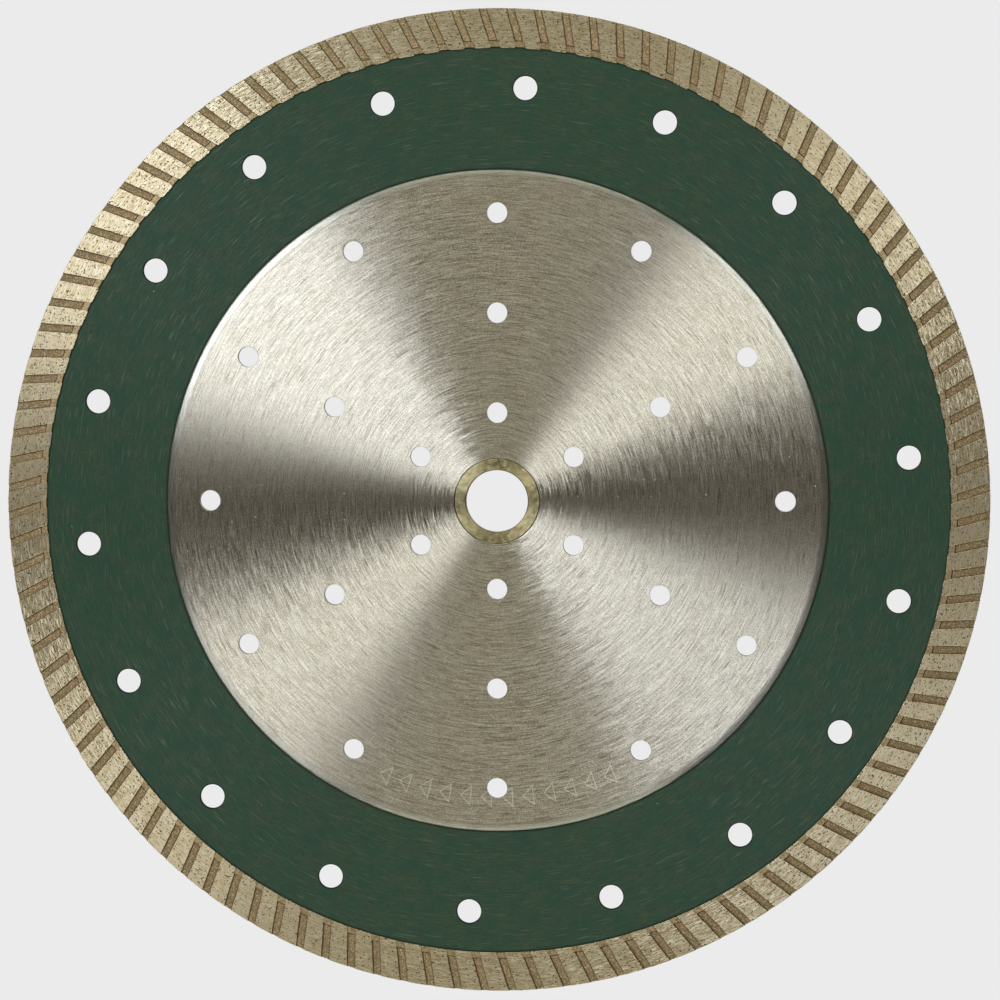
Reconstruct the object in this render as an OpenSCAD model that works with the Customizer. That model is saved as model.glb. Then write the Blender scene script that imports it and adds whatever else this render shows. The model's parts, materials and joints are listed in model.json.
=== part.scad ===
// Turbo-rim diamond blade with a layered quiet core and a reducing bushing.
// It lies flat: the axis is +Z, the front face is up, and the origin is the
// middle of the arbor hole on the blade's middle plane.

/* [Blade] */
// Outer diameter over the diamond rim
blade_d = 254; // [180:1:406]
// Thickness of the painted steel core
core_t = 1.8; // [1.4:0.1:2.2]
// Width of painted core that shows between the rim and the stiffener disc
band_w = 31.5; // [24:0.5:40]

/* [Diamond rim] */
// Thickness of the rim over its ground lands, which is the width of cut
rim_t = 3.0; // [2.5:0.1:4.5]
// Radial height of the whole rim, backing and diamond layer
rim_h = 10; // [7:0.5:15]
// Radial width of the backing lip that closes the grooves
lip_w = 1.55; // [1.2:0.05:3]
// How far the lip lies below the ground lands
lip_drop = 0.1; // [0.05:0.05:0.3]
// Width of a groove
groove_w = 2.0; // [1.2:0.1:3]
// Depth of a groove in each face
groove_depth = 0.7; // [0.3:0.05:0.9]
// Distance from groove to groove, round the outside
groove_pitch = 7.12; // [5.5:0.01:12]
// Lean of a groove from the radius, with its outer end turned anticlockwise
groove_lean = 17; // [0:1:30]
// Turn of the first groove from +X, at the middle of its length
groove_phase = 1.2; // [0:0.05:3]

/* [Rim seat] */
// How far the core's edge reaches into the backing
seat_depth = 0.8; // [0.6:0.05:1]
// Number of key notches round the core's edge
key_count = 56; // [24:4:96]
// Width of a key notch
key_w = 2.0; // [1:0.1:3]
// Depth of a key notch
key_depth = 0.5; // [0.3:0.05:0.6]
// Gap left round the seat and between the two layers of the rim
seat_gap = 0.02; // [0.01:0.01:0.05]

/* [Stiffener discs] */
// Thickness of each stiffener disc
disc_t = 0.4; // [0.3:0.05:0.8]
// Width of the bevel round a disc's outer edge
bevel_w = 1.7; // [0.5:0.1:3]
// Height of the straight edge left below the bevel
bevel_foot = 0.1; // [0.05:0.05:0.2]
// Thickness of each damping film
film_t = 0.1; // [0.05:0.05:0.3]
// How far the film stops short of the disc's outer edge
film_inset = 0.6; // [0.2:0.1:2]

/* [Cooling and relief holes] */
// Diameter of the cooling holes in the painted band
cooling_hole_d = 6.2; // [4:0.1:9]
// Number of cooling holes
cooling_hole_count = 18; // [6:1:24]
// Distance from the rim's inner edge in to the cooling holes' centres
cooling_hole_inset = 10.3; // [7:0.1:15]
// Turn of the first cooling hole from +X
cooling_hole_phase = 6.1; // [0:0.1:20]
// Diameter of the relief holes in the stiffener discs
relief_hole_d = 5.3; // [3:0.1:7]
// Distance from the disc's outer edge in to the outer ring of relief holes
outer_ring_inset = 11.1; // [8:0.1:16]
// Distance from the arbor hole's wall out to the inner ring of relief holes
inner_ring_offset = 11.7; // [8:0.1:16]
// Number of holes in the outer ring, which the two inner rings halve
outer_ring_count = 12; // [6:2:16]

/* [Arbor] */
// Diameter of the arbor hole through the core and the discs
arbor_hole_d = 22.225; // [18:0.005:30]
// Bore of the reducing bushing
bushing_bore_d = 15.9; // [12:0.005:16]
// How far each end of the bushing lies below the face of the disc round it
bushing_recess = 0.15; // [0:0.05:0.3]
// Chamfer on the bushing's edges
bushing_chamfer = 0.25; // [0.1:0.05:0.4]
// Radial clearance of the bushing in the arbor hole
bushing_clearance = 0.03; // [0.01:0.01:0.1]

/* [Hidden] */
$fn = 180;
// Extra length by which a cutting shape passes through a face
cut_over = 0.5;

rim_outer_r = blade_d / 2;
rim_inner_r = rim_outer_r - rim_h;
diamond_inner_r = rim_inner_r + lip_w;
core_r = rim_inner_r + seat_depth;

groove_count = round(PI * blade_d / groove_pitch);
groove_step = 360 / groove_count;
groove_mid_r = (rim_outer_r + diamond_inner_r) / 2;
groove_l = 2 * rim_h;

disc_r = rim_inner_r - band_w;
film_r = disc_r - film_inset;
film_z = core_t / 2;
disc_z = film_z + film_t;
centre_t = core_t + 2 * (film_t + disc_t);
bushing_l = centre_t - 2 * bushing_recess;

arbor_r = arbor_hole_d / 2;
cooling_ring_r = rim_inner_r - cooling_hole_inset;
outer_ring_r = disc_r - outer_ring_inset;
inner_ring_r = arbor_r + inner_ring_offset;
middle_ring_r = (outer_ring_r + inner_ring_r) / 2;
ring_step = 360 / outer_ring_count;

// A ring of through holes, count of them from the angle phase
module hole_ring(ring_r, hole_d, count, phase) {
    for (i = [0 : count - 1])
        rotate(phase + i * 360 / count)
            translate([ring_r, 0, 0])
                cylinder(d = hole_d, h = centre_t + 2 * cut_over, center = true, $fn = 48);
}

// The holes that pass through every layer of the middle: the arbor hole and three relief rings
module layer_holes() {
    cylinder(r = arbor_r, h = centre_t + 2 * cut_over, center = true);
    hole_ring(outer_ring_r, relief_hole_d, outer_ring_count, 0);
    hole_ring(middle_ring_r, relief_hole_d, outer_ring_count / 2, ring_step);
    hole_ring(inner_ring_r, relief_hole_d, outer_ring_count / 2, ring_step);
}

// The core's round edge with its key notches, grown by gap for the seat that holds it
module core_blank(gap) {
    difference() {
        cylinder(r = core_r + gap, h = core_t, center = true);
        for (i = [0 : key_count - 1])
            rotate(i * 360 / key_count)
                translate([core_r - key_depth + gap, gap - key_w / 2, -core_t])
                    cube([key_depth + cut_over, key_w - 2 * gap, 2 * core_t]);
    }
}

// Slanted cuts of one depth in one face of the rim: side is 1 for the front and -1 for the back,
// whose cuts lie half a step round from the front's
module face_cuts(side, depth) {
    for (i = [0 : groove_count - 1])
        rotate(groove_phase + (i + (1 - side) / 4) * groove_step)
            translate([groove_mid_r, 0, side * (rim_t / 2 - depth / 2 + cut_over / 2)])
                rotate(groove_lean)
                    cube([groove_l, groove_w, depth + cut_over], center = true);
}

// A flat ring centred on the middle plane
module flat_ring(inner_r, outer_r, thickness) {
    difference() {
        cylinder(r = outer_r, h = thickness, center = true);
        cylinder(r = inner_r, h = thickness + 2 * cut_over, center = true);
    }
}

// A bevelled stiffener disc standing on z = disc_z
module stiffener_disc() {
    difference() {
        rotate_extrude()
            polygon([
                [arbor_r - cut_over, disc_z],
                [disc_r, disc_z],
                [disc_r, disc_z + bevel_foot],
                [disc_r - bevel_w, disc_z + disc_t],
                [arbor_r - cut_over, disc_z + disc_t]
            ]);
        layer_holes();
    }
}

// A damping film lying on the core's face
module damping_film() {
    difference() {
        translate([0, 0, film_z])
            cylinder(r = film_r, h = film_t);
        layer_holes();
    }
}

module core_plate() {
    color("#34493a")
        difference() {
            core_blank(0);
            layer_holes();
            hole_ring(cooling_ring_r, cooling_hole_d, cooling_hole_count, cooling_hole_phase);
        }
}

module front_damping_film() {
    color("#b9ac86")
        damping_film();
}

module rear_damping_film() {
    color("#b9ac86")
        rotate([180, 0, 0])
            damping_film();
}

module front_stiffener_disc() {
    color("#b5b09c")
        stiffener_disc();
}

module rear_stiffener_disc() {
    color("#b5b09c")
        rotate([180, 0, 0])
            stiffener_disc();
}

module rim_backing() {
    color("#94795a")
        difference() {
            flat_ring(rim_inner_r, diamond_inner_r - seat_gap, rim_t);
            core_blank(seat_gap);
            face_cuts(1, lip_drop);
            face_cuts(-1, lip_drop);
        }
}

module diamond_rim() {
    color("#cbbf9f")
        difference() {
            flat_ring(diamond_inner_r, rim_outer_r, rim_t);
            face_cuts(1, groove_depth);
            face_cuts(-1, groove_depth);
        }
}

module arbor_bushing() {
    outer_r = arbor_r - bushing_clearance;
    bore_r = bushing_bore_d / 2;
    half_l = bushing_l / 2;
    color("#948b65")
        rotate_extrude()
            polygon([
                [bore_r, bushing_chamfer - half_l],
                [bore_r + bushing_chamfer, -half_l],
                [outer_r - bushing_chamfer, -half_l],
                [outer_r, bushing_chamfer - half_l],
                [outer_r, half_l - bushing_chamfer],
                [outer_r - bushing_chamfer, half_l],
                [bore_r + bushing_chamfer, half_l],
                [bore_r, half_l - bushing_chamfer]
            ]);
}

core_plate();
front_damping_film();
rear_damping_film();
front_stiffener_disc();
rear_stiffener_disc();
rim_backing();
diamond_rim();
arbor_bushing();
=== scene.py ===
"""Models the finish of a turbo-rim diamond blade round its CAD frame: the painted core, the
brushed stiffener discs, the ground and sintered rim, the brass bushing, and a small studio."""

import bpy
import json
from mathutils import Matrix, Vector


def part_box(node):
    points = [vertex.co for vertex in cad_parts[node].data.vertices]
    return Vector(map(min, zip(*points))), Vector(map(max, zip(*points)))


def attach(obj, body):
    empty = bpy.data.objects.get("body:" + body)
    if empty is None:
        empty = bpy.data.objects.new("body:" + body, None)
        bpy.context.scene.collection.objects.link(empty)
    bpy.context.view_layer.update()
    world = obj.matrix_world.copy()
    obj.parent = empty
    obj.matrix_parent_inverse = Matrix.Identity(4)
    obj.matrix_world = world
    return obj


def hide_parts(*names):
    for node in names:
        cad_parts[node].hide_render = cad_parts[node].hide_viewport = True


bl_info = {
    "name": "Diamond Blade",
    "version": (1, 0, 0),
    "blender": (4, 5, 0),
    "location": "3D View > Sidebar > Blade",
    "description": "Builds a turbo-rim diamond blade piece by piece, with its finishes and a studio",
    "category": "Add Mesh",
}

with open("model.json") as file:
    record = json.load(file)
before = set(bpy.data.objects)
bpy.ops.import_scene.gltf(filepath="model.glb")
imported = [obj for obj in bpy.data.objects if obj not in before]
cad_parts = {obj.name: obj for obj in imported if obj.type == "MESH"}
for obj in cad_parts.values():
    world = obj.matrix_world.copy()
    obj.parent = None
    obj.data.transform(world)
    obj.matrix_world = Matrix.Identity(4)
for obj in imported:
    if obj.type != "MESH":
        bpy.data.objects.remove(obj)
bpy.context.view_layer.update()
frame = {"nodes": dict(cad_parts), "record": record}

import json
import math

import bmesh
import bpy
from bpy.props import FloatProperty, FloatVectorProperty, IntProperty, PointerProperty
from mathutils import Matrix, Vector, noise

MM = 0.001
Z_AXIS = Vector((0, 0, 1))
# How far one piece of metal reaches into the next, so that no crack shows between them
SINK = 0.05 * MM


def linear(code):
    """An sRGB hex colour as linear red, green, blue and alpha."""
    channels = [int(code[i : i + 2], 16) / 255 for i in (1, 3, 5)]
    return [c / 12.92 if c <= 0.04045 else ((c + 0.055) / 1.055) ** 2.4 for c in channels] + [1.0]


def node_reach(node):
    """The outer radius and the lowest and highest z of a CAD node."""
    low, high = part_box(node)
    return high[0], low[2], high[2]


CORE_R, CORE_LOW, CORE_HIGH = node_reach("core_plate")
DISC_R, DISC_LOW, DISC_HIGH = node_reach("front_stiffener_disc")
RIM_R, RIM_LOW, RIM_HIGH = node_reach("diamond_rim")
LIP_R = node_reach("rim_backing")[0]
BUSHING_R, BUSHING_LOW, BUSHING_HIGH = node_reach("arbor_bushing")
BORE_R = frame["record"]["mounts"][0]["dims"]["r_mm"] * MM


# ---------------------------------------------------------------- settings


class BladeSizes(bpy.types.PropertyGroup):
    """Sizes of the plates, the holes and the bushing"""

    arbor_radius: FloatProperty(
        name="Arbor hole radius", description="Radius of the hole that holds the bushing",
        default=BUSHING_R + 0.03 * MM, unit="LENGTH", precision=5,
    )
    bevel_width: FloatProperty(
        name="Disc bevel", description="Width of the bevel round a stiffener disc",
        default=1.7 * MM, unit="LENGTH", precision=5,
    )
    edge_width: FloatProperty(
        name="Disc edge", description="Width of the eased outermost edge of a disc's bevel",
        default=0.35 * MM, unit="LENGTH", precision=5,
    )
    shoulder_share: FloatProperty(
        name="Bevel shoulder", description="Share of the bevel's height that its outermost edge takes",
        default=0.72, subtype="FACTOR",
    )
    bevel_foot: FloatProperty(
        name="Disc foot", description="Height of the straight edge below the disc's bevel",
        default=0.1 * MM, unit="LENGTH", precision=5,
    )
    cooling_count: IntProperty(
        name="Cooling holes", description="Number of cooling holes in the painted band", default=18,
    )
    cooling_ring: FloatProperty(
        name="Cooling ring radius", description="Radius of the ring of cooling holes",
        default=106.7 * MM, unit="LENGTH", precision=5,
    )
    cooling_radius: FloatProperty(
        name="Cooling hole radius", description="Radius of a cooling hole",
        default=3.1 * MM, unit="LENGTH", precision=5,
    )
    cooling_phase: FloatProperty(
        name="Cooling phase", description="Turn of the first cooling hole from +X",
        default=math.radians(6.1), subtype="ANGLE",
    )
    relief_count: IntProperty(
        name="Relief holes", description="Number of relief holes in the outer ring", default=12,
    )
    relief_outer: FloatProperty(
        name="Outer relief ring", description="Radius of the outer ring of relief holes",
        default=74.4 * MM, unit="LENGTH", precision=5,
    )
    relief_inner: FloatProperty(
        name="Inner relief ring", description="Radius of the inner ring of relief holes",
        default=22.8125 * MM, unit="LENGTH", precision=5,
    )
    relief_radius: FloatProperty(
        name="Relief hole radius", description="Radius of a relief hole",
        default=2.65 * MM, unit="LENGTH", precision=5,
    )
    hole_break: FloatProperty(
        name="Hole edge", description="Width of the broken edge round a hole",
        default=0.12 * MM, unit="LENGTH", precision=5,
    )
    bushing_chamfer: FloatProperty(
        name="Bushing chamfer", description="Width of the rounded edges of the bushing",
        default=0.25 * MM, unit="LENGTH", precision=5,
    )


class RimSizes(bpy.types.PropertyGroup):
    """Sizes of the grooved rim"""

    groove_count: IntProperty(
        name="Grooves", description="Number of grooves in each face of the rim", default=112,
    )
    groove_width: FloatProperty(
        name="Groove width", description="Width of a groove",
        default=2.0 * MM, unit="LENGTH", precision=5,
    )
    groove_depth: FloatProperty(
        name="Groove depth", description="Depth of a groove below the ground lands",
        default=0.7 * MM, unit="LENGTH", precision=5,
    )
    groove_lean: FloatProperty(
        name="Groove lean", description="Lean of a groove from the radius",
        default=math.radians(17), subtype="ANGLE",
    )
    groove_phase: FloatProperty(
        name="Groove phase", description="Turn of the first groove from +X",
        default=math.radians(1.2), subtype="ANGLE",
    )
    groove_offset: FloatVectorProperty(
        name="Groove offset", description="How far the middle of the grooves lies off the axis",
        default=(0.21 * MM, -0.03 * MM), size=2, unit="LENGTH", precision=5,
    )
    inner_radius: FloatProperty(
        name="Inner radius", description="Radius at which the rim meets the painted core",
        default=RIM_R - 10 * MM, unit="LENGTH", precision=5,
    )
    lip_drop: FloatProperty(
        name="Lip drop", description="How far the lip lies below the ground lands",
        default=0.1 * MM, unit="LENGTH", precision=5,
    )
    scallop: FloatProperty(
        name="Scallop", description="How far the most rounded lands stand in past the lip",
        default=0.3 * MM, unit="LENGTH", precision=5,
    )
    draft: FloatProperty(
        name="Draft", description="How far a land's foot stands out past its top on each side",
        default=0.22 * MM, unit="LENGTH", precision=5,
    )
    land_edge: FloatProperty(
        name="Land edge", description="Width of the rounded edge round a land's top",
        default=0.14 * MM, unit="LENGTH", precision=5,
    )
    wobble: FloatProperty(
        name="Wobble", description="How far a land's outline wanders from its true line",
        default=0.06 * MM, unit="LENGTH", precision=5,
    )


class FinishColours(bpy.types.PropertyGroup):
    """The main colour of each finish"""

    enamel: FloatVectorProperty(
        name="Enamel", description="Lighter green of the enamel",
        default=linear("#3c513c"), size=4, subtype="COLOR", min=0, max=1,
    )
    steel: FloatVectorProperty(
        name="Steel", description="Bright lines of the brushed steel",
        default=linear("#efe9d8"), size=4, subtype="COLOR", min=0, max=1,
    )
    ground: FloatVectorProperty(
        name="Ground bond", description="Bright lines of the rim's ground lands",
        default=linear("#e3d8b9"), size=4, subtype="COLOR", min=0, max=1,
    )
    sintered: FloatVectorProperty(
        name="Sintered bond", description="Coppery colour of the groove floors towards the core",
        default=linear("#bc9772"), size=4, subtype="COLOR", min=0, max=1,
    )
    # The groove walls' colour is painted shade: darker than the floors, for the shadowed outlines of the
    # grooves.
    flank: FloatVectorProperty(
        name="Groove walls", description="Lighter colour of the groove walls",
        default=linear("#6e5b3b"), size=4, subtype="COLOR", min=0, max=1,
    )
    backing: FloatVectorProperty(
        name="Backing", description="Lighter colour of the bronze backing",
        default=linear("#c0ab80"), size=4, subtype="COLOR", min=0, max=1,
    )
    brass: FloatVectorProperty(
        name="Brass", description="Lighter colour of the turned bushing",
        default=linear("#cfc594"), size=4, subtype="COLOR", min=0, max=1,
    )
    film: FloatVectorProperty(
        name="Film", description="Lighter colour of the damping films",
        default=linear("#cabb95"), size=4, subtype="COLOR", min=0, max=1,
    )


class StudioSettings(bpy.types.PropertyGroup):
    """The camera and the lights"""

    distance: FloatProperty(
        name="Camera distance", description="Distance of the camera from the blade's middle",
        default=1.39, unit="LENGTH",
    )
    tilt: FloatProperty(
        name="Camera tilt", description="Lean of the line of sight from the blade's axis",
        default=math.radians(3.8), subtype="ANGLE",
    )
    turn: FloatProperty(
        name="Camera turn", description="Direction, from +X, in which the camera leans",
        default=math.radians(35), subtype="ANGLE",
    )
    field: FloatProperty(
        name="Field width", description="Width of the view at the blade",
        default=258.5 * MM, unit="LENGTH", precision=5,
    )
    aim: FloatVectorProperty(
        name="Aim", description="Point on the middle plane that the camera looks at",
        default=(0.71 * MM, 0.22 * MM), size=2, unit="LENGTH", precision=5,
    )
    key_power: FloatProperty(
        name="Key light", description="Power of the upper left softbox", default=15.3, unit="POWER",
    )
    second_power: FloatProperty(
        name="Second light", description="Power of the upper right softbox", default=6.9,
        unit="POWER",
    )
    third_power: FloatProperty(
        name="Third light", description="Power of the lower left softbox", default=4.05,
        unit="POWER",
    )
    fill_power: FloatProperty(
        name="Fill light", description="Power of each of the two fill panels", default=3.55,
        unit="POWER",
    )
    room: FloatProperty(
        name="Room light", description="Strength of the light from the room", default=0.09,
    )


# ---------------------------------------------------------------- materials


def new_material(name):
    """A material with a Principled shader, as its node tree and the shader."""
    material = bpy.data.materials.new(name)
    material.use_nodes = True
    return material, material.node_tree, material.node_tree.nodes["Principled BSDF"]


def add(tree, kind, inputs=None, **settings):
    """Adds a node, with its settings, and sets or links its inputs by name or number."""
    node = tree.nodes.new(kind)
    for name, value in settings.items():
        setattr(node, name, value)
    for key, value in (inputs or {}).items():
        if isinstance(value, bpy.types.NodeSocket):
            tree.links.new(value, node.inputs[key])
        else:
            node.inputs[key].default_value = value
    return node


def ring_place(tree):
    """Where a point lies on the blade: its radius in millimetres, its outward direction and the
    direction round the blade, as sockets."""
    place = add(tree, "ShaderNodeTexCoord").outputs["Object"]
    flat = add(tree, "ShaderNodeVectorMath", {0: place, 1: (1, 1, 0)}, operation="MULTIPLY").outputs[0]
    length = add(tree, "ShaderNodeVectorMath", {0: flat}, operation="LENGTH").outputs["Value"]
    radius = add(tree, "ShaderNodeMath", {0: length, 1: 1 / MM}, operation="MULTIPLY").outputs[0]
    outward = add(tree, "ShaderNodeVectorMath", {0: flat}, operation="NORMALIZE").outputs[0]
    round_ = add(
        tree, "ShaderNodeVectorMath", {0: (0, 0, 1), 1: outward}, operation="CROSS_PRODUCT"
    ).outputs[0]
    return radius, outward, round_


def streaks(tree, radius, width, length, seed=0.0, detail=2.0):
    """Noise drawn out round the blade: about width mm across and length mm long."""
    along = add(
        tree, "ShaderNodeVectorMath",
        {0: add(tree, "ShaderNodeTexCoord").outputs["Object"], 1: [1 / (length * MM)] * 2 + [0]},
        operation="MULTIPLY",
    ).outputs[0]
    across = add(tree, "ShaderNodeMath", {0: radius, 1: 1 / width, 2: seed}, operation="MULTIPLY_ADD")
    up = add(tree, "ShaderNodeCombineXYZ", {"Z": across.outputs[0]}).outputs[0]
    place = add(tree, "ShaderNodeVectorMath", {0: along, 1: up}, operation="ADD").outputs[0]
    return add(
        tree, "ShaderNodeTexNoise", {"Vector": place, "Scale": 1.0, "Detail": detail, "Roughness": 0.6}
    ).outputs["Fac"]


def grain(tree, size, detail=3.0, seed=0.0):
    """Even noise with features of about size mm."""
    place = add(tree, "ShaderNodeTexCoord").outputs["Object"]
    moved = add(tree, "ShaderNodeVectorMath", {0: place, 1: (seed, seed, seed)}, operation="ADD")
    return add(
        tree, "ShaderNodeTexNoise",
        {"Vector": moved.outputs[0], "Scale": 1 / (size * MM), "Detail": detail, "Roughness": 0.6},
    ).outputs["Fac"]


def remap(tree, value, low, high, to_low=0.0, to_high=1.0):
    """Value stretched from low..high to to_low..to_high and held there."""
    return add(
        tree, "ShaderNodeMapRange",
        {"Value": value, "From Min": low, "From Max": high, "To Min": to_low, "To Max": to_high},
    ).outputs["Result"]


def blend(tree, amount, first, second):
    """A mix of two colours, each a hex code, linear numbers or a socket."""
    first, second = (linear(c) if isinstance(c, str) else c for c in (first, second))
    return add(
        tree, "ShaderNodeMix", {"Factor": amount, 6: first, 7: second}, data_type="RGBA"
    ).outputs[2]


def between(tree, share, first, second):
    """A value between two others."""
    return add(
        tree, "ShaderNodeMix", {"Factor": share, 2: first, 3: second}, data_type="FLOAT"
    ).outputs[0]


def brush_tangent(tree, outward, round_, waver, amount):
    """The direction across the brush lines, which wavers a little from line to line."""
    sway = remap(tree, waver, 0.25, 0.75, -1, 1)
    sway = add(tree, "ShaderNodeMath", {0: sway, 1: amount}, operation="MULTIPLY").outputs[0]
    aside = add(
        tree, "ShaderNodeVectorMath", {0: round_, "Scale": sway}, operation="SCALE"
    ).outputs[0]
    return add(tree, "ShaderNodeVectorMath", {0: outward, 1: aside}, operation="ADD").outputs[0]


def rotation_marks(tree, radius, outward):
    """A mask of small outlined triangles on an arc, which point the way the blade turns."""
    ring, pitch, half_length, half_height, line = 76.6, math.radians(4.05), 1.3, 2.4, 0.12
    lean = math.atan2(half_height, 2 * half_length)
    parts = add(tree, "ShaderNodeSeparateXYZ", {0: outward})
    down = add(tree, "ShaderNodeMath", {0: parts.outputs["Y"], 1: -1.0}, operation="MULTIPLY").outputs[0]
    angle = add(
        tree, "ShaderNodeMath", {0: parts.outputs["X"], 1: down}, operation="ARCTAN2"
    ).outputs[0]
    cell = add(tree, "ShaderNodeMath", {0: angle, 1: pitch}, operation="FLOORED_MODULO").outputs[0]
    along = add(
        tree, "ShaderNodeMath", {0: cell, 1: ring, 2: -ring * pitch / 2}, operation="MULTIPLY_ADD"
    ).outputs[0]
    off = add(tree, "ShaderNodeMath", {0: radius, 1: ring}, operation="SUBTRACT").outputs[0]
    off = add(tree, "ShaderNodeMath", {0: off}, operation="ABSOLUTE").outputs[0]
    base = add(tree, "ShaderNodeMath", {0: along, 1: half_length}, operation="SUBTRACT").outputs[0]
    slope = add(
        tree, "ShaderNodeMath", {0: along, 1: -math.sin(lean), 2: -half_length * math.sin(lean)},
        operation="MULTIPLY_ADD",
    ).outputs[0]
    side = add(
        tree, "ShaderNodeMath", {0: off, 1: math.cos(lean), 2: slope}, operation="MULTIPLY_ADD"
    ).outputs[0]
    outline = add(tree, "ShaderNodeMath", {0: base, 1: side}, operation="MAXIMUM").outputs[0]
    outline = add(tree, "ShaderNodeMath", {0: outline}, operation="ABSOLUTE").outputs[0]
    mask = remap(tree, outline, line * 0.5, line * 1.5, 1.0, 0.0)
    spread = add(tree, "ShaderNodeMath", {0: angle}, operation="ABSOLUTE").outputs[0]
    near = add(
        tree, "ShaderNodeMath", {0: spread, 1: 6 * pitch}, operation="LESS_THAN"
    ).outputs[0]
    return add(tree, "ShaderNodeMath", {0: mask, 1: near}, operation="MULTIPLY").outputs[0]


def brushed_steel(colours):
    """Bare carbon steel, ground and then brushed in circles: each fine line reflects along the
    radius, so the disc shows bright and dark wedges. The lines are drawn coarser than a real
    brush leaves them, so that they show."""
    material, tree, shader = new_material("brushed_steel")
    radius, outward, round_ = ring_place(tree)
    lines = streaks(tree, radius, 0.15, 5, detail=1)
    fine = between(tree, 0.5, lines, grain(tree, 0.26, detail=1, seed=0.7))
    broad = streaks(tree, radius, 1.3, 14, seed=40)
    scratch = streaks(tree, radius, 0.2, 4, seed=90, detail=0)
    marks = rotation_marks(tree, radius, outward)
    colour = blend(tree, remap(tree, fine, 0.38, 0.62), "#a59c84", colours.steel)
    colour = blend(tree, remap(tree, broad, 0.25, 0.75, 0, 0.25), colour, "#c8bfa6")
    colour = blend(tree, remap(tree, radius, 83.2, 84.4, 0, 0.6), colour, "#a3a79d")
    colour = blend(tree, remap(tree, scratch, 0.64, 0.74, 0, 0.45), colour, "#6b6350")
    colour = blend(tree, remap(tree, marks, 0, 1, 0, 0.6), colour, "#fbf7dc")
    tree.links.new(colour, shader.inputs["Base Color"])
    rough = remap(tree, fine, 0.38, 0.62, 0.275, 0.335)
    rough = add(tree, "ShaderNodeMath", {0: marks, 1: 0.15, 2: rough}, operation="MULTIPLY_ADD")
    tree.links.new(rough.outputs[0], shader.inputs["Roughness"])
    waver = remap(tree, radius, 12, 30, 0.25, 0.09)
    tree.links.new(brush_tangent(tree, outward, round_, lines, waver), shader.inputs["Tangent"])
    nicks = remap(tree, grain(tree, 0.55, detail=0, seed=0.9), 0.80, 0.86, 0, 2)
    height = add(tree, "ShaderNodeMath", {0: fine, 1: nicks}, operation="ADD").outputs[0]
    bump = add(
        tree, "ShaderNodeBump", {"Height": height, "Strength": 0.4, "Distance": 0.014 * MM}
    ).outputs[0]
    tree.links.new(bump, shader.inputs["Normal"])
    shader.inputs["Metallic"].default_value = 1.0
    shader.inputs["Anisotropic"].default_value = 1.0
    return material


def satin_enamel(colours):
    """Thin satin enamel sprayed on the ground core: dark green, with the grinding lines of the
    steel just showing through as light dashes, a few specks of dust, and painted shade in the
    corners where it meets the disc and the rim."""
    material, tree, shader = new_material("satin_enamel")
    radius, outward, round_ = ring_place(tree)
    lines = streaks(tree, radius, 0.2, 3, seed=7)
    fine = between(tree, 0.5, lines, grain(tree, 0.35, detail=2, seed=0.4))
    blotch = grain(tree, 5, detail=3, seed=0.6)
    dashes = streaks(tree, radius, 0.24, 5, seed=33, detail=0)
    dust = grain(tree, 0.9, detail=0, seed=0.3)
    colour = blend(tree, remap(tree, fine, 0.4, 0.6), "#303f31", colours.enamel)
    colour = blend(tree, remap(tree, blotch, 0.4, 0.65, 0, 0.7), colour, "#274737")
    shine = remap(tree, dashes, 0.69, 0.80, 0.0, 0.8)
    colour = blend(tree, shine, colour, "#5f6b58")
    colour = blend(tree, remap(tree, dust, 0.90, 0.93, 0, 0.4), colour, "#b9c2b0")
    # Painted shade: the enamel darkens towards the disc's edge and towards the rim, where the corners
    # lie in shade.
    for corner, reach, most in ((85.5, 0.7, 0.9), (116.9, -0.45, 0.6)):
        shade = remap(tree, radius, corner, corner + reach, most, 0)
        colour = blend(tree, shade, colour, "#10170f")
    tree.links.new(colour, shader.inputs["Base Color"])
    tree.links.new(shine, shader.inputs["Metallic"])
    rough = remap(tree, lines, 0.3, 0.75, 0.55, 0.45)
    tree.links.new(rough, shader.inputs["Roughness"])
    tree.links.new(brush_tangent(tree, outward, round_, lines, 0.06), shader.inputs["Tangent"])
    bump = add(
        tree, "ShaderNodeBump", {"Height": fine, "Strength": 0.3, "Distance": 0.012 * MM}
    ).outputs[0]
    tree.links.new(bump, shader.inputs["Normal"])
    shader.inputs["Anisotropic"].default_value = 0.9
    shader.inputs["Specular IOR Level"].default_value = 0.16
    return material


def hole_edge_shade():
    """The broken edges and walls of the cooling holes, near-black with a faint grain: painted shade for
    the dark rim round each hole.
    """
    material, tree, shader = new_material("hole_edge_shade")
    fine = grain(tree, 0.6, detail=2, seed=0.8)
    colour = blend(tree, remap(tree, fine, 0.3, 0.7), "#0d120e", "#1c261e")
    tree.links.new(colour, shader.inputs["Base Color"])
    shader.inputs["Roughness"].default_value = 0.7
    shader.inputs["Specular IOR Level"].default_value = 0.2
    return material


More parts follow.
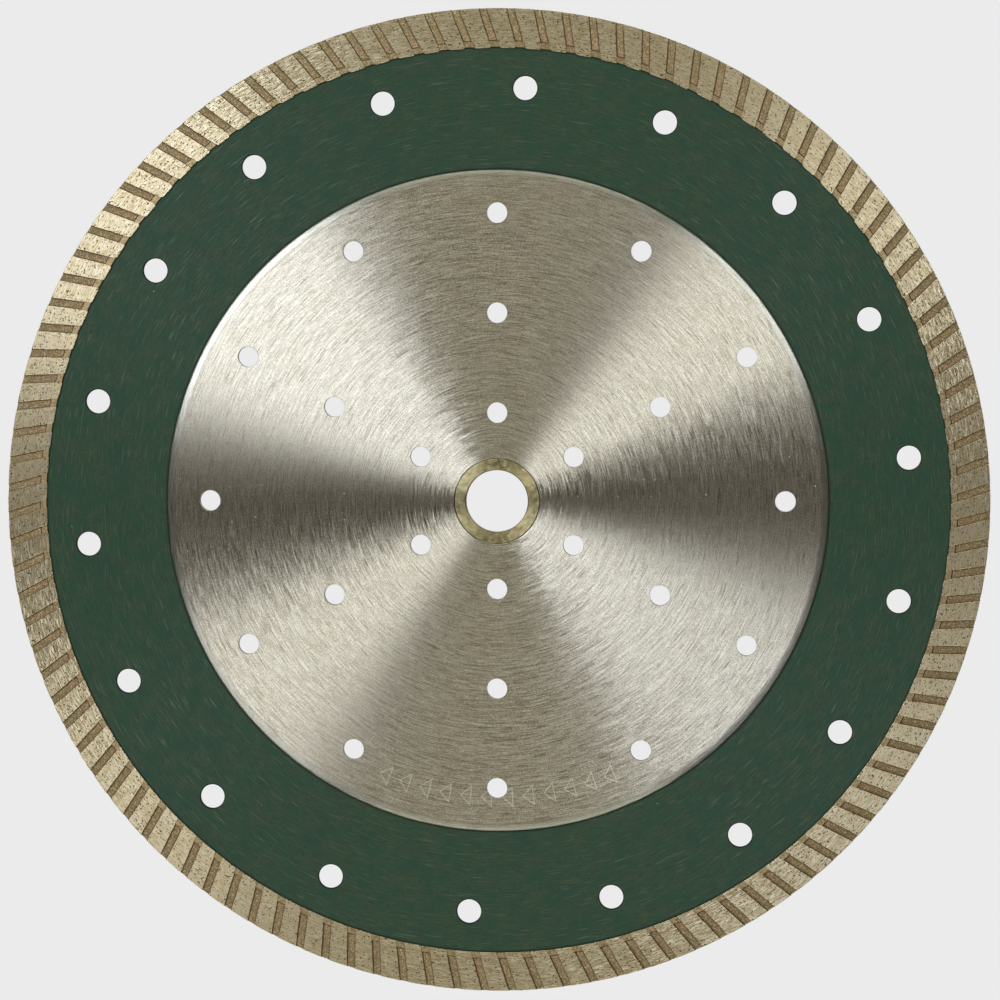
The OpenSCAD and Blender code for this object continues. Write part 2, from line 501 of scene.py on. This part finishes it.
def ground_bond(colours):
    """Bronze and cobalt bond with diamond grit, ground flat: pale, with fine lines round the
    blade and dark pits where grit has torn out."""
    material, tree, shader = new_material("ground_diamond_bond")
    radius, outward, round_ = ring_place(tree)
    lines = streaks(tree, radius, 0.18, 2.5, seed=3, detail=1)
    pits = streaks(tree, radius, 0.4, 0.55, seed=11, detail=0)
    mottle = grain(tree, 1.6, detail=2, seed=0.1)
    colour = blend(tree, remap(tree, lines, 0.35, 0.65), "#b29f74", colours.ground)
    colour = blend(tree, remap(tree, mottle, 0.4, 0.7, 0, 0.4), colour, "#b09a70")
    colour = blend(tree, remap(tree, pits, 0.66, 0.73, 0, 0.85), colour, "#33290f")
    tree.links.new(colour, shader.inputs["Base Color"])
    rough = remap(tree, pits, 0.6, 0.72, 0.34, 0.6)
    tree.links.new(rough, shader.inputs["Roughness"])
    tree.links.new(brush_tangent(tree, outward, round_, lines, 0.3), shader.inputs["Tangent"])
    height = add(tree, "ShaderNodeMath", {0: lines, 1: pits}, operation="SUBTRACT").outputs[0]
    bump = add(
        tree, "ShaderNodeBump", {"Height": height, "Strength": 0.45, "Distance": 0.018 * MM}
    ).outputs[0]
    tree.links.new(bump, shader.inputs["Normal"])
    shader.inputs["Metallic"].default_value = 0.84
    shader.inputs["Anisotropic"].default_value = 0.92
    return material


def sintered_bond(colours):
    """The same bond as it left the press: matt bronze with a fine grain, more olive outside and
    more coppery towards the core. Its shading leans outwards, which no real floor does, so that
    the floors keep their brightness beside the lands."""
    material, tree, shader = new_material("sintered_bronze_bond")
    radius, outward, _ = ring_place(tree)
    lean = (0.55, 0.55, 0.55)
    fine = grain(tree, 0.35, detail=4)
    patch = streaks(tree, radius, 4, 4, seed=5)
    across = add(
        tree, "ShaderNodeMath", {0: patch, 1: 8.0, 2: radius}, operation="MULTIPLY_ADD"
    ).outputs[0]
    copper = remap(tree, across, 121, 130, 1, 0)
    colour = blend(tree, copper, "#a29165", colours.sintered)
    colour = blend(tree, remap(tree, fine, 0.3, 0.7), "#7e6c4a", colour)
    colour = blend(tree, remap(tree, fine, 0.5, 0.7), colour, "#e3cb9e")
    tree.links.new(colour, shader.inputs["Base Color"])
    level = add(tree, "ShaderNodeNewGeometry").outputs["Normal"]
    level = add(
        tree, "ShaderNodeVectorMath", {0: outward, 1: lean, 2: level}, operation="MULTIPLY_ADD"
    ).outputs[0]
    bump = add(
        tree, "ShaderNodeBump",
        {"Height": fine, "Strength": 0.8, "Distance": 0.05 * MM, "Normal": level},
    ).outputs[0]
    tree.links.new(bump, shader.inputs["Normal"])
    shader.inputs["Metallic"].default_value = 0.35
    shader.inputs["Roughness"].default_value = 0.7
    return material


def shaded_groove_wall(colours):
    """The steep walls of the grooves, painted dark as painted shade for the shadowed outlines along each
    groove.
    """
    material, tree, shader = new_material("shaded_groove_wall")
    fine = grain(tree, 0.4, detail=3, seed=0.4)
    colour = blend(tree, remap(tree, fine, 0.3, 0.7), "#493a22", colours.flank)
    tree.links.new(colour, shader.inputs["Base Color"])
    shader.inputs["Roughness"].default_value = 0.8
    return material


def backing_bronze(colours):
    """Bronze backing with no grit in it: lightly ground, with a rougher grain than the steel."""
    material, tree, shader = new_material("backing_bronze")
    _, outward, round_ = ring_place(tree)
    fine = grain(tree, 0.5, detail=3, seed=0.2)
    colour = blend(tree, remap(tree, fine, 0.3, 0.7), "#72603f", colours.backing)
    tree.links.new(colour, shader.inputs["Base Color"])
    tree.links.new(brush_tangent(tree, outward, round_, fine, 0.4), shader.inputs["Tangent"])
    bump = add(
        tree, "ShaderNodeBump", {"Height": fine, "Strength": 0.6, "Distance": 0.03 * MM}
    ).outputs[0]
    tree.links.new(bump, shader.inputs["Normal"])
    shader.inputs["Metallic"].default_value = 0.8
    shader.inputs["Roughness"].default_value = 0.42
    shader.inputs["Anisotropic"].default_value = 0.7
    return material


def turned_brass(colours):
    """Brass, turned on a lathe and dulled: olive and tan in soft patches with faint turning
    lines, and dark with grime and painted shade where it meets the hole's wall."""
    material, tree, shader = new_material("turned_brass")
    radius, outward, round_ = ring_place(tree)
    lines = streaks(tree, radius, 0.25, 2.5, seed=2)
    mottle = grain(tree, 1.3, detail=3)
    tarnish = grain(tree, 2.6, detail=1, seed=0.5)
    colour = blend(tree, remap(tree, mottle, 0.35, 0.65), "#8a855c", colours.brass)
    colour = blend(tree, remap(tree, tarnish, 0.45, 0.65, 0, 0.6), colour, "#a48c62")
    colour = blend(tree, remap(tree, lines, 0.3, 0.7, 0, 0.4), colour, "#dccda0")
    edge = remap(tree, radius, 8.15, 8.3, 1, 0)
    colour = blend(tree, edge, colour, "#857f5e")
    # Grime and painted shade in the joint with the hole's wall: darker at the bushing's outer edge.
    joint_grime_and_shade = remap(tree, radius, 10.8, 11.0)
    colour = blend(tree, joint_grime_and_shade, colour, "#2e2716")
    tree.links.new(colour, shader.inputs["Base Color"])
    tree.links.new(remap(tree, mottle, 0.3, 0.7, 0.28, 0.4), shader.inputs["Roughness"])
    tree.links.new(brush_tangent(tree, outward, round_, lines, 0.2), shader.inputs["Tangent"])
    shader.inputs["Metallic"].default_value = 1.0
    shader.inputs["Anisotropic"].default_value = 0.8
    return material


def damping_film(colours):
    """A cured viscoelastic film: matt beige, seen only at its cut edges."""
    material, tree, shader = new_material("damping_film")
    fine = grain(tree, 0.4, detail=2)
    colour = blend(tree, remap(tree, fine, 0.3, 0.7), "#b3a27c", colours.film)
    tree.links.new(colour, shader.inputs["Base Color"])
    shader.inputs["Roughness"].default_value = 0.8
    return material


def lit_table():
    """A white acrylic table lit from below, which shows the same pale grey everywhere."""
    material, tree, shader = new_material("lit_acrylic")
    shader.inputs["Base Color"].default_value = (0, 0, 0, 1)
    shader.inputs["Specular IOR Level"].default_value = 0.0
    shader.inputs["Roughness"].default_value = 1.0
    shader.inputs["Emission Color"].default_value = linear("#ebebeb")
    shader.inputs["Emission Strength"].default_value = 1.0
    return material


# ---------------------------------------------------------------- modelling


def new_piece(name, bm, materials, body=None, node=None):
    """Makes an object of a bmesh; given a body, it hangs the object on that body's empty and
    hides the CAD node it stands for."""
    mesh = bpy.data.meshes.new(name)
    bm.to_mesh(mesh)
    bm.free()
    for material in materials:
        mesh.materials.append(material)
    piece = bpy.data.objects.new(name, mesh)
    bpy.context.scene.collection.objects.link(piece)
    if body:
        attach(piece, body)
        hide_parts(node)
    return piece


def crease(bm, limit=math.radians(40)):
    """Smooth shading that stops at sharp corners and at the edge of every level face."""
    bm.normal_update()
    for face in bm.faces:
        face.smooth = True
    for edge in bm.edges:
        level = [abs(face.normal.z) > 0.9999 for face in edge.link_faces]
        mixed = any(level) and not all(level)
        edge.smooth = not mixed and edge.calc_face_angle(0.0) < limit


def level_circle(bm, radius, segments, centre=(0, 0), z=0.0):
    """The edges of a level circle."""
    made = bmesh.ops.create_circle(
        bm, cap_ends=False, segments=segments, radius=radius,
        matrix=Matrix.Translation((centre[0], centre[1], z)),
    )
    return {edge for vert in made["verts"] for edge in vert.link_edges}


def ring_of_holes(ring, count, phase, radius):
    """The centres and radius of the holes in one ring."""
    step = 2 * math.pi / count
    return [
        (ring * math.cos(phase + i * step), ring * math.sin(phase + i * step), radius)
        for i in range(count)
    ]


def relief_holes(sizes):
    """All the relief holes: the outer ring, and two inner rings of half as many."""
    count, radius = sizes.relief_count, sizes.relief_radius
    middle = (sizes.relief_outer + sizes.relief_inner) / 2
    step = 2 * math.pi / count
    return (
        ring_of_holes(sizes.relief_outer, count, 0, radius)
        + ring_of_holes(middle, count // 2, step, radius)
        + ring_of_holes(sizes.relief_inner, count // 2, step, radius)
    )


def drilled_plate(outer, arbor, holes, low, high, segments=384):
    """A flat round plate between two heights, with its arbor hole and other holes."""
    bm = bmesh.new()
    level_circle(bm, outer, segments, z=low)
    level_circle(bm, arbor, 120, z=low)
    for x, y, radius in holes:
        level_circle(bm, radius, 48, (x, y), low)
    bmesh.ops.triangle_fill(bm, use_beauty=True, use_dissolve=False, edges=bm.edges[:])
    grown = bmesh.ops.extrude_face_region(bm, geom=bm.faces[:], use_keep_orig=True)
    top = [item for item in grown["geom"] if isinstance(item, bmesh.types.BMVert)]
    bmesh.ops.translate(bm, verts=top, vec=(0, 0, high - low))
    bmesh.ops.recalc_face_normals(bm, faces=bm.faces[:])
    return bm


def rim_edges(bm, z, beyond=0.0, within=math.inf):
    """The corner edges at one height whose ends lie between two radii."""
    found = []
    for edge in bm.edges:
        level = all(abs(v.co.z - z) < 1e-6 for v in edge.verts)
        placed = all(beyond < v.co.xy.length < within for v in edge.verts)
        if level and placed and edge.calc_face_angle(0.0) > math.radians(50):
            found.append(edge)
    return found


def round_edges(bm, edges, width, segments=2):
    """Rounds edges over by width."""
    bmesh.ops.bevel(
        bm, geom=edges, offset=width, offset_type="OFFSET", segments=segments, profile=0.5,
        affect="EDGES", clamp_overlap=True, material=-1,
    )


def spun_ring(profile, steps):
    """A ring made by turning a closed outline of (radius, height) points about the axis."""
    bm = bmesh.new()
    verts = [bm.verts.new((r, 0, z)) for r, z in profile]
    edges = [bm.edges.new((verts[i - 1], verts[i])) for i in range(len(verts))]
    bmesh.ops.spin(
        bm, geom=verts + edges, cent=(0, 0, 0), axis=(0, 0, 1), angle=2 * math.pi,
        steps=steps, use_merge=True,
    )
    bmesh.ops.remove_doubles(bm, verts=bm.verts[:], dist=1e-7)
    bmesh.ops.recalc_face_normals(bm, faces=bm.faces[:])
    return bm


def on_line(radius, point, direction):
    """Where a line through point meets the circle of that radius, on its outward side."""
    lead = point.dot(direction)
    return point + direction * (math.sqrt(lead**2 - point.length_squared + radius**2) - lead)


def groove_wall(rim, angle, side):
    """A point on one wall of a groove and the wall's direction: side is 1 for the wall that lies
    anticlockwise, -1 for the other and 0 for the groove's middle line."""
    middle = (RIM_R + LIP_R) / 2
    direction = Vector((math.cos(angle + rim.groove_lean), math.sin(angle + rim.groove_lean)))
    aside = Vector((-direction.y, direction.x)) * side * rim.groove_width / 2
    foot = Vector((math.cos(angle), math.sin(angle))) * middle + Vector(rim.groove_offset)
    return foot + aside, direction


def land_outline(rim, angle, inner):
    """The corners of the land that follows the groove at angle, from its inner corner outwards,
    round the rim and back in."""
    step = 2 * math.pi / rim.groove_count
    first = groove_wall(rim, angle, 1)
    second = groove_wall(rim, angle + step, -1)
    stations = [inner + (RIM_R - inner) * i / 5 for i in range(6)]
    up = [on_line(radius, *first) for radius in stations]
    down = [on_line(radius, *second) for radius in reversed(stations)]
    turn = up[-1].angle_signed(down[0])
    arc = [Matrix.Rotation(-turn * i / 4, 2) @ up[-1] for i in range(1, 4)]
    return up + arc + down


def scallop_share(angle):
    """How scalloped the lands are at an angle: fully in the upper half, and not at the bottom."""
    return min(1.0, max(0.0, 0.55 + 0.75 * math.sin(angle)))


def grooved_lands(rim):
    """All the lands of the front face, as shallow blocks that stand on the groove floor."""
    bm = bmesh.new()
    floor = RIM_HIGH - rim.groove_depth
    step = 2 * math.pi / rim.groove_count
    for i in range(rim.groove_count):
        angle = rim.groove_phase + i * step
        share = scallop_share(angle)
        inner = rim.inner_radius + SINK - rim.scallop * share
        verts = [bm.verts.new((p.x, p.y, floor - SINK)) for p in land_outline(rim, angle, inner)]
        bm.faces.new(verts)
        round_corners(bm, [verts[0], verts[-1]], (0.2 + 0.5 * share) * MM)
    grown = bmesh.ops.extrude_face_region(bm, geom=bm.faces[:], use_keep_orig=True)
    top = [item for item in grown["geom"] if isinstance(item, bmesh.types.BMVert)]
    bmesh.ops.translate(bm, verts=top, vec=(0, 0, RIM_HIGH - floor + SINK))
    spread_feet(bm, rim, floor)
    bmesh.ops.recalc_face_normals(bm, faces=bm.faces[:])
    wander(bm, rim.wobble)
    round_edges(bm, rim_edges(bm, RIM_HIGH), rim.land_edge)
    return bm


def spread_feet(bm, rim, floor):
    """Widens the foot of every land on both sides, so that the groove walls have draft."""
    step = 2 * math.pi / rim.groove_count
    for vert in bm.verts:
        if vert.co.z > floor:
            continue
        place = vert.co.xy
        lag = math.atan2(place.y, place.x) - lead_angle(rim, place.length) - rim.groove_phase
        across = (lag / step) % 1 - 0.5
        turn = 2 * across * rim.draft / place.length
        vert.co.rotate(Matrix.Rotation(turn, 3, "Z"))


def lead_angle(rim, radius):
    """How far a groove's middle line has turned, at a radius, from its turn at mid length."""
    point, direction = groove_wall(rim, 0, 0)
    place = on_line(radius, point, direction)
    return math.atan2(place.y, place.x)


def round_corners(bm, verts, width):
    """Rounds the corners of a flat outline."""
    bmesh.ops.bevel(
        bm, geom=verts, offset=width, offset_type="OFFSET", segments=4, profile=0.5,
        affect="VERTICES", clamp_overlap=True, material=-1,
    )


def wander(bm, amount):
    """Moves each vertical line of a mesh a little aside, so that no edge is quite true. The
    outside of the rim stays where it is."""
    for vert in bm.verts:
        place = vert.co.xy
        if place.length < RIM_R - 0.1 * MM:
            shift = noise.noise_vector(Vector((place.x, place.y, 0)) / (1.7 * MM))
            vert.co.x += shift.x * amount
            vert.co.y += shift.y * amount


# ---------------------------------------------------------------- operators


class BLADE_OT_core(bpy.types.Operator):
    """The painted core plate with its cooling holes"""

    bl_idname = "blade.core"
    bl_label = "Painted core"

    def execute(self, context):
        sizes = context.scene.blade_sizes
        finishes = [satin_enamel(context.scene.blade_colours), hole_edge_shade()]
        cooling = ring_of_holes(
            sizes.cooling_ring, sizes.cooling_count, sizes.cooling_phase, sizes.cooling_radius
        )
        bm = drilled_plate(
            CORE_R, sizes.arbor_radius, cooling + relief_holes(sizes), CORE_LOW, CORE_HIGH
        )
        for z in (CORE_LOW, CORE_HIGH):
            edges = rim_edges(bm, z, beyond=DISC_R, within=CORE_R - MM)
            round_edges(bm, edges, sizes.hole_break * 2)
        crease(bm)
        # Steep faces round the cooling holes take the near-black painted shade.
        for face in bm.faces:
            steep = abs(face.normal.z) < 0.99
            within = DISC_R < face.calc_center_median().xy.length < CORE_R - MM
            face.material_index = 1 if steep and within else 0
        new_piece("painted_core", bm, finishes, "blade", "core_plate")
        return {"FINISHED"}


class BLADE_OT_discs(bpy.types.Operator):
    """The front and rear stiffener discs with their bevelled edges"""

    bl_idname = "blade.discs"
    bl_label = "Stiffener discs"

    def execute(self, context):
        sizes = context.scene.blade_sizes
        steel = brushed_steel(context.scene.blade_colours)
        for name, node, turn in (
            ("front_disc", "front_stiffener_disc", 0),
            ("rear_disc", "rear_stiffener_disc", math.pi),
        ):
            bm = self.disc(sizes)
            bmesh.ops.rotate(
                bm, verts=bm.verts[:], cent=(0, 0, 0), matrix=Matrix.Rotation(turn, 3, "X")
            )
            crease(bm, math.radians(60))
            new_piece(name, bm, [steel], "blade", node)
        return {"FINISHED"}

    def disc(self, sizes):
        """One disc, front face up."""
        bm = drilled_plate(DISC_R, sizes.arbor_radius, relief_holes(sizes), DISC_LOW, DISC_HIGH)
        foot = DISC_LOW + sizes.bevel_foot
        shoulder = foot + (DISC_HIGH - foot) * sizes.shoulder_share
        for height in (foot, shoulder):
            bmesh.ops.bisect_plane(
                bm, geom=bm.verts[:] + bm.edges[:] + bm.faces[:], plane_co=(0, 0, height),
                plane_no=(0, 0, 1),
            )
        for height, width in ((shoulder, sizes.edge_width), (DISC_HIGH, sizes.bevel_width)):
            level = [v for v in bm.verts if abs(v.co.z - height) < 1e-6]
            ring = [v for v in level if v.co.xy.length > DISC_R - MM]
            shrink = (DISC_R - width) / DISC_R
            bmesh.ops.scale(bm, verts=ring, vec=(shrink, shrink, 1))
        edges = rim_edges(bm, DISC_HIGH, within=DISC_R - 4 * MM)
        round_edges(bm, edges, sizes.hole_break)
        return bm


class BLADE_OT_films(bpy.types.Operator):
    """The damping films, whose CAD shapes are right as they are"""

    bl_idname = "blade.films"
    bl_label = "Damping films"

    def execute(self, context):
        film = damping_film(context.scene.blade_colours)
        for name in ("front_damping_film", "rear_damping_film"):
            mesh = frame["nodes"][name].data
            mesh.materials.clear()
            mesh.materials.append(film)
        return {"FINISHED"}


class BLADE_OT_backing(bpy.types.Operator):
    """The bronze backing ring, which straddles the core's edge and shows as the lip"""

    bl_idname = "blade.backing"
    bl_label = "Rim backing"

    def execute(self, context):
        rim = context.scene.blade_rim
        lip = RIM_HIGH - rim.lip_drop
        inner = rim.inner_radius + 0.05 * MM
        half = [(CORE_R, CORE_HIGH), (inner, CORE_HIGH), (inner, lip), (LIP_R, lip)]
        profile = half + [(r, -z) for r, z in reversed(half)]
        bm = spun_ring(profile, rim.groove_count * 4)
        for z in (-lip, lip):
            round_edges(bm, rim_edges(bm, z, within=inner + MM / 2), 0.08 * MM)
        crease(bm)
        bronze = backing_bronze(context.scene.blade_colours)
        new_piece("backing_ring", bm, [bronze], "blade", "rim_backing")
        return {"FINISHED"}


class BLADE_OT_rim(bpy.types.Operator):
    """The grooved diamond rim: ground lands on a sintered ring"""

    bl_idname = "blade.rim"
    bl_label = "Diamond rim"

    def execute(self, context):
        rim = context.scene.blade_rim
        floor = RIM_HIGH - rim.groove_depth
        outer = RIM_R - 0.03 * MM
        foot, dip = LIP_R + 0.25 * MM, floor - 0.15 * MM
        bm = spun_ring(
            [
                (LIP_R, dip), (LIP_R, -dip), (foot, -floor), (outer, -floor), (outer, floor),
                (foot, floor),
            ],
            rim.groove_count * 6,
        )
        lands = grooved_lands(rim)
        mesh = bpy.data.meshes.new("lands")
        lands.to_mesh(mesh)
        lands.free()
        bm.from_mesh(mesh)
        behind = self.behind(mesh, math.pi / rim.groove_count)
        bm.from_mesh(behind)
        for spare in (mesh, behind):
            bpy.data.meshes.remove(spare)
        crease(bm, math.radians(60))
        for face in bm.faces:
            face.material_index = self.finish(face, floor, outer)
        colours = context.scene.blade_colours
        finishes = [ground_bond(colours), sintered_bond(colours), shaded_groove_wall(colours)]
        new_piece("grooved_rim", bm, finishes, "blade", "diamond_rim")
        return {"FINISHED"}

    def finish(self, face, floor, outer):
        """Which finish a face has: 0 ground, 1 as sintered, 2 the flank of a groove, painted dark as
        painted shade.
        """
        centre = face.calc_center_median()
        if abs(centre.z) > RIM_HIGH - 0.2 * MM:
            return 0
        if centre.xy.length > outer - 0.05 * MM:
            return 1
        return 1 if abs(face.normal.z) > 0.99 else 2

    def behind(self, mesh, turn):
        """The lands of the back face: the front's mirrored, and turned by half a step."""
        bm = bmesh.new()
        bm.from_mesh(mesh)
        bmesh.ops.scale(bm, verts=bm.verts[:], vec=(1, 1, -1))
        bmesh.ops.reverse_faces(bm, faces=bm.faces[:])
        bmesh.ops.rotate(
            bm, verts=bm.verts[:], cent=(0, 0, 0), matrix=Matrix.Rotation(turn, 3, "Z")
        )
        made = bpy.data.meshes.new("lands_behind")
        bm.to_mesh(made)
        bm.free()
        return made


class BLADE_OT_bushing(bpy.types.Operator):
    """The brass reducing bushing"""

    bl_idname = "blade.bushing"
    bl_label = "Arbor bushing"

    def execute(self, context):
        sizes = context.scene.blade_sizes
        corners = [
            (BORE_R, BUSHING_LOW), (BUSHING_R, BUSHING_LOW),
            (BUSHING_R, BUSHING_HIGH), (BORE_R, BUSHING_HIGH),
        ]
        bm = spun_ring(corners, 120)
        edges = rim_edges(bm, BUSHING_LOW) + rim_edges(bm, BUSHING_HIGH)
        round_edges(bm, edges, sizes.bushing_chamfer, segments=3)
        crease(bm)
        brass = turned_brass(context.scene.blade_colours)
        new_piece("bushing_ring", bm, [brass], "bushing", "arbor_bushing")
        return {"FINISHED"}


class BLADE_OT_studio(bpy.types.Operator):
    """The lit table, the softboxes, the room light and the camera"""

    bl_idname = "blade.studio"
    bl_label = "Studio"

    def execute(self, context):
        studio = context.scene.blade_studio
        self.table()
        self.room(context.scene, studio)
        self.softbox("key_left", studio.key_power, 148.5, 60, 1.9, (0.72, 0.6), "#e8eefb")
        self.softbox("key_right", studio.second_power, 38, 60, 1.9, (0.58, 0.6), "#f4f8ff")
        self.softbox("key_low", studio.third_power, 218.5, 60, 1.9, (0.58, 0.6), "#f4f8ff")
        self.softbox("fill_top", studio.fill_power, 90, 40, 1.3, (1.0, 0.5), "#fcfcf0")
        self.softbox("fill_bottom", studio.fill_power, 270, 40, 1.3, (1.0, 0.5), "#fcfcf0")
        self.camera(context.scene, studio)
        return {"FINISHED"}

    def table(self):
        """A wide round table top at the rim's rear lands."""
        bm = bmesh.new()
        bmesh.ops.create_circle(
            bm, cap_ends=True, segments=64, radius=3.0, matrix=Matrix.Translation((0, 0, RIM_LOW))
        )
        new_piece("light_table", bm, [lit_table()])

    def room(self, scene, studio):
        """Dim even light from the room, which the camera sees as pale as the table."""
        world = bpy.data.worlds.new("room")
        world.use_nodes = True
        tree = world.node_tree
        back = tree.nodes["Background"]
        seen = add(tree, "ShaderNodeLightPath").outputs["Is Camera Ray"]
        tree.links.new(blend(tree, seen, "#fff3dc", "#ebebeb"), back.inputs["Color"])
        tree.links.new(remap(tree, seen, 0, 1, studio.room, 1), back.inputs["Strength"])
        scene.world = world

    def softbox(self, name, power, azimuth, elevation, distance, size, colour):
        """A rectangular softbox that faces the blade's middle."""
        light = bpy.data.lights.new(name, "AREA")
        light.shape = "RECTANGLE"
        light.size, light.size_y = size
        light.energy = power
        light.color = linear(colour)[:3]
        lamp = bpy.data.objects.new(name, light)
        turn, rise = math.radians(azimuth), math.radians(elevation)
        place = Vector(
            (math.cos(rise) * math.cos(turn), math.cos(rise) * math.sin(turn), math.sin(rise))
        ) * distance
        lamp.matrix_world = facing(place, Vector((0, 0, 0)), Z_AXIS)
        bpy.context.scene.collection.objects.link(lamp)

    def camera(self, scene, studio):
        """A long lens almost straight above the blade, with +Y upwards in the picture."""
        lens = bpy.data.cameras.new("camera")
        camera = bpy.data.objects.new("camera", lens)
        away = Vector(
            (
                math.sin(studio.tilt) * math.cos(studio.turn),
                math.sin(studio.tilt) * math.sin(studio.turn),
                math.cos(studio.tilt),
            )
        )
        target = Vector((*studio.aim, 0))
        lens.lens = lens.sensor_width * studio.distance / studio.field
        lens.clip_end = 20
        camera.matrix_world = facing(target + away * studio.distance, target, Vector((0, 1, 0)))
        scene.collection.objects.link(camera)
        scene.camera = camera
        scene.view_settings.view_transform = "Standard"


def facing(place, target, up):
    """The matrix of a lamp or camera at place that looks at target, with up upwards."""
    back = (place - target).normalized()
    right = up.cross(back).normalized()
    matrix = Matrix((right, back.cross(right), back)).transposed().to_4x4()
    matrix.translation = place
    return matrix


OPERATORS = (
    BLADE_OT_core,
    BLADE_OT_discs,
    BLADE_OT_films,
    BLADE_OT_backing,
    BLADE_OT_rim,
    BLADE_OT_bushing,
    BLADE_OT_studio,
)


class BLADE_PT_build(bpy.types.Panel):
    """The buttons that build the blade, and its settings"""

    bl_idname = "BLADE_PT_build"
    bl_label = "Diamond blade"
    bl_space_type = "VIEW_3D"
    bl_region_type = "UI"
    bl_category = "Blade"

    def draw(self, context):
        for operator in OPERATORS:
            self.layout.operator(operator.bl_idname)
        for group in ("blade_sizes", "blade_rim", "blade_colours", "blade_studio"):
            settings = getattr(context.scene, group)
            for name in settings.__annotations__:
                self.layout.prop(settings, name)


CLASSES = (BladeSizes, RimSizes, FinishColours, StudioSettings, *OPERATORS, BLADE_PT_build)


def register():
    for cls in CLASSES:
        bpy.utils.register_class(cls)
    bpy.types.Scene.blade_sizes = PointerProperty(type=BladeSizes)
    bpy.types.Scene.blade_rim = PointerProperty(type=RimSizes)
    bpy.types.Scene.blade_colours = PointerProperty(type=FinishColours)
    bpy.types.Scene.blade_studio = PointerProperty(type=StudioSettings)


def unregister():
    del bpy.types.Scene.blade_studio
    del bpy.types.Scene.blade_colours
    del bpy.types.Scene.blade_rim
    del bpy.types.Scene.blade_sizes
    for cls in reversed(CLASSES):
        bpy.utils.unregister_class(cls)


def main():
    register()
    bpy.ops.blade.core()
    bpy.ops.blade.discs()
    bpy.ops.blade.films()
    bpy.ops.blade.backing()
    bpy.ops.blade.rim()
    bpy.ops.blade.bushing()
    bpy.ops.blade.studio()


if __name__ == "__main__":
    main()
